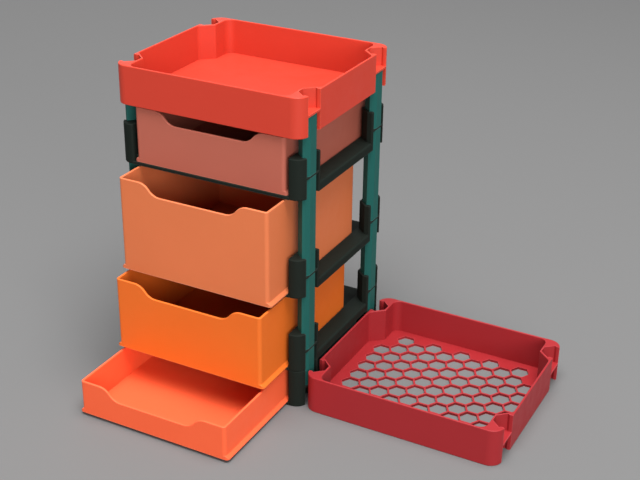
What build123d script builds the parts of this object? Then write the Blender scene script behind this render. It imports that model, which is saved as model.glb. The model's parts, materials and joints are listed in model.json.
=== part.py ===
from build123d import *
from math import hypot, sqrt
import os

# A storage tower of slotted frames, clip-in posts, drawers and trays, in millimetres.
# X runs from side to side, Y from front to back and Z up; the drawers open towards -Y.
# Origin: the middle of the tower's footprint, on the surface that it stands on.

# Trays
tray_width = 150.0
tray_depth = 135.0
tray_height = 28.8
tray_wall = 1.5
tray_floor = 2.0
tray_pocket_wall = 1.2
tray_corner_radius = 9.5
tray_end_radius = 6.0
tray_bulge_round = 0.8
tray_side_radius = 3.5
tray_edge_round = 0.6

# Post section: half widths at growing depths behind a tray's side face
post_setback = 16.5
face_depth = 0.3
face_half = 4.1
lip_depth = 2.3
lip_half = 8.1
wide_depth = 4.0
wide_half = 9.1
back_depth = 10.5
back_half = 3.2
post_edge_round = 0.4

# Pockets that hold the posts, and the web that closes each pocket half way up
mouth_half = 8.5
post_fit = 0.15
web_thickness = 1.4
socket_wall = 1.65
pocket_overrun = 1.0

# Frames
frame_side_inset = 0.4
frame_front_inset = 1.8
frame_floor = 2.2
socket_height = 30.0
socket_corner_radius = 9.0
socket_inner_radius = 1.8
socket_lip_radius = 1.0
socket_edge_round = 0.7
rail_edge_round = 1.6
guide_setback = 3.5
groove_lip = 1.45
groove_lip_edge = 1.6
groove_stop_length = 3.5

# Free height of post between two storeys, from the lowest up: the lowest frames touch
lower_gap = 30.0
middle_gap = 45.0
upper_gap = 15.0

# Drawers
drawer_wall = 1.8
drawer_floor = 1.6
drawer_corner_radius = 2.6
drawer_inner_radius = 1.2
drawer_rim_round = 0.45
drawer_headroom = 1.3
drawer_setback = 0.7
runner_gap = 0.2
runner_fit = 0.35
runner_edge = 0.8
runner_reach = 2.2
runner_stop_gap = 0.3
scoop_depth = 8.8
scoop_low_half = 26.5
scoop_top_half = 44.3

# How far each drawer stands open at rest
shallow_pull = 82.5
lower_pull = 34.5
deep_pull = 23.5
upper_pull = 0.0

# Honeycomb tray, standing beside the tower
honeycomb_side_gap = 0.4
honeycomb_shift = 3.0
hole_pitch = 13.76
hole_rib = 1.3
first_hole_x = -59.4
first_hole_y = 46.8
hole_wall_margin = 5.0
hole_corner_margin = 2.0

# Worked out from the sizes above
side_face = tray_width / 2
front_face = tray_depth / 2
post_row = front_face - post_setback
back_x = side_face - back_depth
socket_inner = back_x - socket_wall
tray_inner = back_x - tray_pocket_wall
socket_outer = side_face - frame_side_inset
frame_half_depth = front_face - frame_front_inset
guide_half = frame_half_depth - guide_setback
groove_floor = frame_floor + runner_gap + runner_edge
rail_height = groove_floor + groove_lip + groove_lip_edge
groove_end = guide_half - groove_stop_length

lower_level = socket_height
middle_level = lower_level + socket_height + lower_gap
upper_level = middle_level + socket_height + middle_gap
tray_level = upper_level + socket_height + upper_gap

drawer_bottom = frame_floor + runner_gap
drawer_front = frame_half_depth - drawer_setback
runner_half = socket_inner - runner_fit
drawer_half = runner_half - runner_reach
drawer_length = 2 * drawer_front
runner_length = drawer_front + groove_end - runner_stop_gap

slant_slope = (wide_half - back_half) / (back_depth - wide_depth)
lip_end = wide_half + socket_wall


def slant_half(x, wall):
    """Half width, about a post's middle, of the slanted wall behind its pocket at x."""
    return back_half + slant_slope * (x - back_x) + wall * hypot(1, slant_slope)


def from_side(half_outline):
    """Face in plan from (depth, half width) points, symmetric about a post's middle."""
    upper = [(side_face - depth, half) for depth, half in half_outline]
    lower = [(x, -half) for x, half in reversed(upper)]
    return make_face(Polyline(*upper, *lower, close=True))


def at_corners(shape):
    """Copies of a shape drawn about a right-hand post's middle, at the four posts."""
    turns = {"right": 0, "left": 180}
    rows = {"front": -post_row, "back": post_row}
    return {
        f"{row}_{side}": Pos(0, y, 0) * Rot(0, 0, turn) * shape
        for row, y in rows.items()
        for side, turn in turns.items()
    }


def mirrored_four(shape):
    """A shape and its mirror images in the XZ and YZ planes."""
    pair = [shape, mirror(shape, about=Plane.XZ)]
    return pair + [mirror(one, about=Plane.YZ) for one in pair]


def upright(face, low, high):
    """A face in plan raised from one level to another."""
    return Pos(0, 0, low) * extrude(face, amount=high - low)


def post_outline():
    return from_side(
        [(face_depth, face_half), (lip_depth, lip_half), (wide_depth, wide_half), (back_depth, back_half)]
    )


def post(length):
    """One post, a little smaller all round than the pocket that it slides into."""
    section = offset(post_outline(), amount=-post_fit, kind=Kind.INTERSECTION)
    solid = extrude(section, amount=length)
    return fillet(solid.edges().filter_by(Axis.Z), post_edge_round)


def pocket_cuts(height):
    """Open slots for the posts, above and below the web of a socket or tray."""
    mouth = [(-pocket_overrun, mouth_half), (0, mouth_half), (lip_depth, lip_half)]
    pocket = from_side(mouth + [(wide_depth, wide_half), (back_depth, back_half)])
    web_low = (height - web_thickness) / 2
    web_high = (height + web_thickness) / 2
    cuts = upright(pocket, -pocket_overrun, web_low)
    cuts += upright(pocket, web_high, height + pocket_overrun)
    return list(at_corners(cuts).values())


def tray_cavity():
    """Inside of a tray in plan: the corners around the pockets stay solid."""
    inner_side = side_face - tray_wall
    inner_front = front_face - tray_wall
    corners = [
        (tray_inner, inner_front),
        (tray_inner, post_row - slant_half(tray_inner, tray_pocket_wall)),
        (inner_side, post_row - slant_half(inner_side, tray_pocket_wall)),
    ]
    quarter = make_face(Polyline((0, 0), (0, inner_front), *corners, (inner_side, 0), close=True))
    for corner, radius in zip(corners, (tray_end_radius, tray_bulge_round, tray_side_radius)):
        quarter = fillet(quarter.vertices().sort_by_distance(corner)[0], radius)
    return Sketch() + mirrored_four(quarter)


def tray():
    """An open tray with a pocket at each end of both sides."""
    body = upright(Rectangle(tray_width, tray_depth), 0, tray_height)
    body = fillet(body.edges().filter_by(Axis.Z), tray_corner_radius)
    flats = body.faces().filter_by(Axis.Z)
    body = fillet(flats.edges(), tray_edge_round)
    body -= upright(tray_cavity(), tray_floor, tray_height)
    rim = body.faces().sort_by(Axis.Z)[-1].inner_wires()[0]
    body = fillet(rim.edges(), tray_edge_round)
    return body - pocket_cuts(tray_height)


def hole_is_clear(x, y, radius, flat):
    """Whether a hexagonal hole keeps its margin to the tray's walls and solid corners."""
    corners = [(x + sx * radius, y) for sx in (-1, 1)]
    corners += [(x + sx * radius / 2, y + sy * flat) for sx in (-1, 1) for sy in (-1, 1)]
    clear = True
    for across, along in corners:
        clear &= abs(across) <= side_face - tray_wall - hole_wall_margin
        clear &= abs(along) <= front_face - tray_wall - hole_wall_margin
        if abs(across) > tray_inner - hole_corner_margin:
            solid_half = slant_half(abs(across), tray_pocket_wall)
            clear &= abs(along) <= post_row - solid_half - hole_corner_margin
    return clear


def honeycomb_holes():
    """Hexagonal holes in staggered columns, wherever a whole one fits."""
    flat = (hole_pitch - hole_rib) / 2
    radius = flat * 2 / sqrt(3)
    column_step = hole_pitch * sqrt(3) / 2
    columns = int(tray_width / column_step)
    rows = int(tray_depth / hole_pitch) + 1
    places = []
    for column in range(columns):
        x = first_hole_x + column * column_step
        stagger = hole_pitch / 2 if column % 2 else 0
        for row in range(rows):
            y = first_hole_y + stagger - row * hole_pitch
            if hole_is_clear(x, y, radius, flat):
                places.append((x, y))
    hexagons = Sketch() + [Pos(x, y) * RegularPolygon(radius, 6) for x, y in places]
    return upright(hexagons, -pocket_overrun, tray_floor + pocket_overrun)


def honeycomb_tray():
    """The tray that stands beside the tower, with a floor of hexagonal holes."""
    across = tray_width + honeycomb_side_gap
    return Pos(across, honeycomb_shift, 0) * (tray() - honeycomb_holes())


def socket():
    """The socket around the back right post, closed where its pockets will be cut."""
    lip_y = post_row - lip_end
    lip_x = back_x + (lip_end - slant_half(back_x, socket_wall)) / slant_slope
    corners = [
        (socket_inner, frame_half_depth),
        (socket_outer, frame_half_depth),
        (socket_outer, lip_y),
        (lip_x, lip_y),
        (socket_inner, post_row - slant_half(socket_inner, socket_wall)),
    ]
    body = upright(make_face(Polyline(*corners, close=True)), 0, socket_height)
    for corner, radius in zip(corners, (socket_inner_radius, socket_corner_radius, socket_lip_radius)):
        upright_edge = body.edges().filter_by(Axis.Z).sort_by_distance((*corner, 0))[0]
        body = fillet(upright_edge, radius)
    return fillet(body.faces().filter_by(Axis.Z).edges(), socket_edge_round)


def side_guide():
    """Right-hand rail with the groove that a drawer's runner slides along."""
    lip_x = socket_inner - groove_lip
    in_wall = socket_inner + socket_wall / 2
    groove = [
        (lip_x, rail_height),
        (lip_x, groove_floor + groove_lip),
        (socket_inner, groove_floor),
        (socket_inner, 0),
    ]
    profile = make_face(Polyline((in_wall, 0), (in_wall, rail_height), *groove, close=True))
    guide = extrude(Plane.XZ * profile, amount=guide_half, both=True)
    stop = Pos(lip_x, groove_end, 0) * Box(in_wall - lip_x, groove_stop_length, rail_height, align=Align.MIN)
    rail = Pos(socket_inner, 0, 0) * Box(
        socket_outer - socket_inner, 2 * post_row, rail_height, align=(Align.MIN, Align.CENTER, Align.MIN)
    )
    top_edge = rail.edges().filter_by(Axis.Y).sort_by(lambda edge: edge.center().X + edge.center().Z)[-1]
    return fillet(top_edge, rail_edge_round) + guide + stop


def frame():
    """A flat floor between two grooved side rails, with a socket at each corner."""
    guide = side_guide()
    floor_width = 2 * socket_inner + socket_wall
    body = Box(floor_width, 2 * frame_half_depth, frame_floor, align=(Align.CENTER, Align.CENTER, Align.MIN))
    body += [guide, mirror(guide, about=Plane.YZ), *mirrored_four(socket())]
    return body - pocket_cuts(socket_height)


def scoop(height):
    """Finger scoop in the front rim: two S-shaped sides of equal arcs and a flat bottom."""
    low = height - scoop_depth
    halfway = (-(scoop_low_half + scoop_top_half) / 2, height - scoop_depth / 2)
    top_arc = TangentArc((-scoop_top_half, height), halfway, tangent=(1, 0))
    low_arc = TangentArc(halfway, (-scoop_low_half, low), tangent=top_arc % 1)
    left = [top_arc, low_arc]
    right = [mirror(arc, about=Plane.YZ) for arc in left]
    bottom = Line((-scoop_low_half, low), (scoop_low_half, low))
    top = Line((-scoop_top_half, height), (scoop_top_half, height))
    outline = make_face([*left, bottom, *right, top])
    return extrude(Plane.XZ * outline, amount=2 * drawer_wall, both=True)


def drawer(storey):
    """A drawer for one storey, standing on z = 0 with its front face on y = 0."""
    height = storey - drawer_bottom - drawer_headroom
    middle = Pos(0, drawer_length / 2, 0)
    body = middle * upright(Rectangle(2 * drawer_half, drawer_length), 0, height)
    body = fillet(body.edges().filter_by(Axis.Z), drawer_corner_radius)
    half = [(runner_half, 0), (runner_half, runner_edge), (drawer_half, runner_edge + runner_reach)]
    section = make_face(Polyline(*half, *[(-x, z) for x, z in reversed(half)], close=True))
    runner = extrude(Plane.XZ * section, amount=-runner_length)
    runner = fillet(runner.edges().filter_by(Axis.Z).group_by(Axis.Y)[0], drawer_corner_radius)
    inside = Rectangle(2 * (drawer_half - drawer_wall), drawer_length - 2 * drawer_wall)
    inside = fillet(inside.vertices(), drawer_inner_radius)
    body = body + runner - middle * upright(inside, drawer_floor, height) - scoop(height)
    below_rim = height - scoop_depth - drawer_rim_round
    rim = body.edges().filter_by(lambda edge: edge.bounding_box().min.Z > below_rim)
    across_wall = rim.filter_by(Axis.Y).filter_by(lambda edge: edge.length < 2 * drawer_wall)
    return fillet(rim - across_wall, drawer_rim_round)


def make_all():
    """Every piece by name, in its place with the drawers open as they stand."""
    pieces = {}
    storey_frame = frame()
    levels = {"base": 0, "lower": lower_level, "middle": middle_level, "upper": upper_level}
    tops = [lower_level, middle_level, upper_level, tray_level]
    heads = [socket_height, socket_height, socket_height, tray_height]
    for (name, level), top, head in zip(levels.items(), tops, heads):
        pieces[f"{name}_frame"] = Pos(0, 0, level) * storey_frame
        foot = level + (socket_height + web_thickness) / 2
        length = top + (head - web_thickness) / 2 - foot
        for corner, one in at_corners(post(length)).items():
            pieces[f"{name}_post_{corner}"] = Pos(0, 0, foot) * one
    names = ["shallow_drawer", "lower_drawer", "deep_drawer", "upper_drawer"]
    pulls = [shallow_pull, lower_pull, deep_pull, upper_pull]
    for name, level, top, pull in zip(names, levels.values(), tops, pulls):
        place = Pos(0, -drawer_front - pull, level + drawer_bottom)
        pieces[name] = place * drawer(top - level)
    pieces["top_tray"] = Pos(0, 0, tray_level) * tray()
    pieces["honeycomb_tray"] = honeycomb_tray()
    return pieces


os.makedirs("parts", exist_ok=True)
for node, shape in make_all().items():
    export_step(shape, f"parts/{node}.step")
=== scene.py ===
import json
import math

import bpy
from mathutils import Matrix, Vector

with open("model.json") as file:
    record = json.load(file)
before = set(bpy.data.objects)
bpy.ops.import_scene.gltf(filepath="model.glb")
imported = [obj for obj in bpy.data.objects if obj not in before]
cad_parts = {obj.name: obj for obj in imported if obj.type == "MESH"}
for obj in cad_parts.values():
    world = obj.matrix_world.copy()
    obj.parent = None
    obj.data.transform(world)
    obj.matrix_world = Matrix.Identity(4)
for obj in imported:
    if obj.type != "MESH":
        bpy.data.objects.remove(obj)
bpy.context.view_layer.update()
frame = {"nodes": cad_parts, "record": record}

mm = 0.001
scene = bpy.context.scene


def toLinear(hexCode):  # sRGB hex to the linear colour that a shader reads
    parts = [int(hexCode[i:i + 2], 16) / 255 for i in (1, 3, 5)]
    return [c / 12.92 if c <= 0.04045 else ((c + 0.055) / 1.055) ** 2.4 for c in parts] + [1.0]


def addNode(tree, kind, inputs=None, **settings):  # one node: its settings, then a link or value per socket
    node = tree.nodes.new(kind)
    for key, value in settings.items():
        setattr(node, key, value)
    for socket, value in (inputs or {}).items():
        if isinstance(value, bpy.types.NodeSocket):
            tree.links.new(value, node.inputs[socket])
        else:
            node.inputs[socket].default_value = value
    return node


def addObject(name, data):
    obj = bpy.data.objects.new(name, data)
    scene.collection.objects.link(obj)
    return obj


# Moulded ABS in plain colours: even, with a soft sheen over a fine spark grain; outer edges paler, partly
# rubbed wear and partly painted highlight
plastics = {
    "frame_black": {
        "name": "satinBlackAbs", "finish": "frame",
        "colour": "#1d231f", "deep": "#1a201c", "edge": "#333935"},
    "post_teal": {
        "name": "satinTealAbs", "finish": "post",
        "colour": "#205b55", "deep": "#1d554f", "edge": "#437d77"},
    "drawer_coral": {
        "name": "mattCoralAbs", "finish": "drawer",
        "colour": "#f7663d", "deep": "#f26139", "edge": "#f8775c"},
    "drawer_orange": {
        "name": "mattOrangeAbs", "finish": "drawer",
        "colour": "#e16e25", "deep": "#dc6922", "edge": "#f08a4e"},
    "drawer_apricot": {
        "name": "mattApricotAbs", "finish": "drawer",
        "colour": "#d87649", "deep": "#d27145", "edge": "#e6957a"},
    "drawer_salmon": {
        "name": "mattSalmonAbs", "finish": "drawer",
        "colour": "#b56251", "deep": "#ae5e4d", "edge": "#cb7f6d"},
    "tray_red": {
        "name": "satinRedAbs", "finish": "tray",
        "colour": "#c93f2e", "deep": "#c33b2a", "edge": "#e25a46"},
    "tray_crimson": {
        "name": "satinCrimsonAbs", "finish": "tray",
        "colour": "#9d262b", "deep": "#962428", "edge": "#bd464c"},
}

# How each kind of piece shines: roughness from its polished patches to its dull ones, and strength of gloss
finishes = {
    "frame": {"roughness": (0.55, 0.68), "specular": 0.06},
    "post": {"roughness": (0.45, 0.58), "specular": 0.10},
    "drawer": {"roughness": (0.46, 0.58), "specular": 0.22},
    "tray": {"roughness": (0.40, 0.52), "specular": 0.22},
}

# Patterns in every plastic: their size in millimetres, and how finely their noise breaks up
patterns = {
    "flow": {"sizeMm": 45.0, "detail": 3.0},  # slow drift of shade where the plastic flowed
    "scuff": {"sizeMm": 3.0, "detail": 3.0},  # short scuffs along the edges
    "handling": {"sizeMm": 9.0, "detail": 4.0},  # patches about a fingertip wide, polished by hands
    "spark": {"sizeMm": 0.5, "detail": 2.0},  # about 0.1 mm on a real mould, drawn coarser so that it shows
}
surface = {
    "ior": 1.53,
    "edgeMm": 0.8, "edgeStart": 0.9, "edgeFull": 0.5,  # shares of the rays into the wall that stay in it
    "scuffSpan": (0.25, 0.75), "leastRub": 0.45,  # the span of noise that rubbing follows
    "handlingSpan": (0.3, 0.7),  # the span of noise that roughness follows
    "sparkHeightMm": 0.012, "sparkStrength": 0.35,
}


def mouldedPlastic(look):
    finish = finishes[look["finish"]]
    material = bpy.data.materials.new(look["name"])
    material.use_nodes = True
    tree = material.node_tree
    tree.nodes.clear()
    place = addNode(tree, "ShaderNodeTexCoord").outputs["Object"]
    noise = {}
    for name, pattern in patterns.items():
        texture = addNode(tree, "ShaderNodeTexNoise", {
            "Vector": place, "Scale": 1 / (pattern["sizeMm"] * mm), "Detail": pattern["detail"]})
        noise[name] = texture.outputs["Fac"]
    body = addNode(tree, "ShaderNodeMix", {
        "Factor": noise["flow"], "A": toLinear(look["colour"]), "B": toLinear(look["deep"]),
    }, data_type="RGBA")
    # near an outer edge, rays into the wall come out again within a millimetre, and there the colour turns
    # paler: partly rubbed wear, partly a painted highlight on the rounded edge
    inward = addNode(tree, "ShaderNodeAmbientOcclusion", {
        "Distance": surface["edgeMm"] * mm,
    }, inside=True, only_local=True)
    outerEdge = addNode(tree, "ShaderNodeMapRange", {
        "Value": inward.outputs["AO"], "From Min": surface["edgeStart"], "From Max": surface["edgeFull"]})
    low, high = surface["scuffSpan"]
    rubbed = addNode(tree, "ShaderNodeMapRange", {
        "Value": noise["scuff"], "From Min": low, "From Max": high, "To Min": surface["leastRub"]})
    wearAndHighlight = addNode(tree, "ShaderNodeMath", {
        0: outerEdge.outputs["Result"], 1: rubbed.outputs["Result"],
    }, operation="MULTIPLY")
    # mix towards the pale edge colour: rubbed wear in scuffs, together with a painted highlight along rims
    # and corners
    colour = addNode(tree, "ShaderNodeMix", {
        "Factor": wearAndHighlight.outputs["Value"], "A": body.outputs["Result"], "B": toLinear(look["edge"]),
    }, data_type="RGBA")
    low, high = surface["handlingSpan"]
    polished, dull = finish["roughness"]
    roughness = addNode(tree, "ShaderNodeMapRange", {
        "Value": noise["handling"], "From Min": low, "From Max": high, "To Min": polished, "To Max": dull})
    bump = addNode(tree, "ShaderNodeBump", {
        "Height": noise["spark"], "Strength": surface["sparkStrength"],
        "Distance": surface["sparkHeightMm"] * mm})
    shader = addNode(tree, "ShaderNodeBsdfPrincipled", {
        "Base Color": colour.outputs["Result"], "Roughness": roughness.outputs["Result"],
        "Normal": bump.outputs["Normal"], "IOR": surface["ior"], "Specular IOR Level": finish["specular"]})
    addNode(tree, "ShaderNodeOutputMaterial", {"Surface": shader.outputs["BSDF"]})
    return material


slotMaterials = {slot: mouldedPlastic(look) for slot, look in plastics.items()}
for part in frame["record"]["subparts"]:
    mesh = frame["nodes"][part["node"]].data
    mesh.materials.clear()
    mesh.materials.append(slotMaterials[part["material_slot"]])
print("plastics:", len(slotMaterials), "colours on", len(frame["nodes"]), "pieces")


# Stage: a plain floor of grey matt paper that hardly shines and reaches past the camera's view
stage = {"floorHalf": 6.0, "colour": "#6d6d6d", "roughness": 0.9}


def makeFloor():
    half = stage["floorHalf"]
    corners = [(-half, -half, 0), (half, -half, 0), (half, half, 0), (-half, half, 0)]
    mesh = bpy.data.meshes.new("floor")
    mesh.from_pydata(corners, [], [(0, 1, 2, 3)])
    floor = addObject("floor", mesh)
    material = bpy.data.materials.new("mattPaperFloor")
    material.use_nodes = True
    shader = material.node_tree.nodes["Principled BSDF"]
    shader.inputs["Base Color"].default_value = toLinear(stage["colour"])
    shader.inputs["Roughness"].default_value = stage["roughness"]
    mesh.materials.append(material)


makeFloor()
print("stage: floor")


# Soft light: a wide strip at the front right, a broad softbox overhead and a weak fill behind on the left
lamps = {  # places and sizes in metres
    "frontStrip": {"at": (1.83, -1.83, 0.78), "wide": 1.8, "high": 0.8, "watts": 41.0},
    "topSoftbox": {"at": (0.40, -0.45, 2.60), "wide": 2.0, "high": 2.0, "watts": 128.0},
    "backFill": {"at": (-1.70, 1.70, 0.55), "wide": 1.6, "high": 0.9, "watts": 5.0},
}
sky = {"colour": "#ffffff", "strength": 0.33}
aimPoint = Vector((0.06, 0.0, 0.09))


def makeLamp(name, lamp):
    data = bpy.data.lights.new(name, "AREA")
    data.shape = "RECTANGLE"
    data.size, data.size_y = lamp["wide"], lamp["high"]
    data.energy = lamp["watts"]
    obj = addObject(name, data)
    obj.location = lamp["at"]
    obj.rotation_euler = (aimPoint - obj.location).to_track_quat("-Z", "Y").to_euler()


def makeSky():
    world = bpy.data.worlds.new("softSky")
    world.use_nodes = True
    background = world.node_tree.nodes["Background"]
    background.inputs["Color"].default_value = toLinear(sky["colour"])
    background.inputs["Strength"].default_value = sky["strength"]
    scene.world = world


for lampName, lampSettings in lamps.items():
    makeLamp(lampName, lampSettings)
makeSky()
print("light:", len(lamps), "lamps and a sky")


# Camera where the photograph was taken from: turned to the left, tipped down from level, almost upright
camera = {  # its place in metres
    "at": (0.4298, -0.7216, 0.5070), "turnDeg": 27.53, "tipDeg": 26.33, "rollDeg": 0.76,
    "lensMm": 68.92, "sensorMm": 36.0,
}
levelDeg = 90.0  # a camera looks straight down until it is turned up to level


def makeCamera():
    data = bpy.data.cameras.new("camera")
    data.lens = camera["lensMm"]
    data.sensor_width = camera["sensorMm"]
    obj = addObject("camera", data)
    turn = Matrix.Rotation(math.radians(camera["turnDeg"]), 4, "Z")
    tip = Matrix.Rotation(math.radians(levelDeg - camera["tipDeg"]), 4, "X")
    roll = Matrix.Rotation(math.radians(camera["rollDeg"]), 4, "Z")
    obj.matrix_world = Matrix.Translation(camera["at"]) @ turn @ tip @ roll
    scene.camera = obj


makeCamera()
scene.view_settings.view_transform = "Standard"
print("camera: lens", camera["lensMm"], "mm")
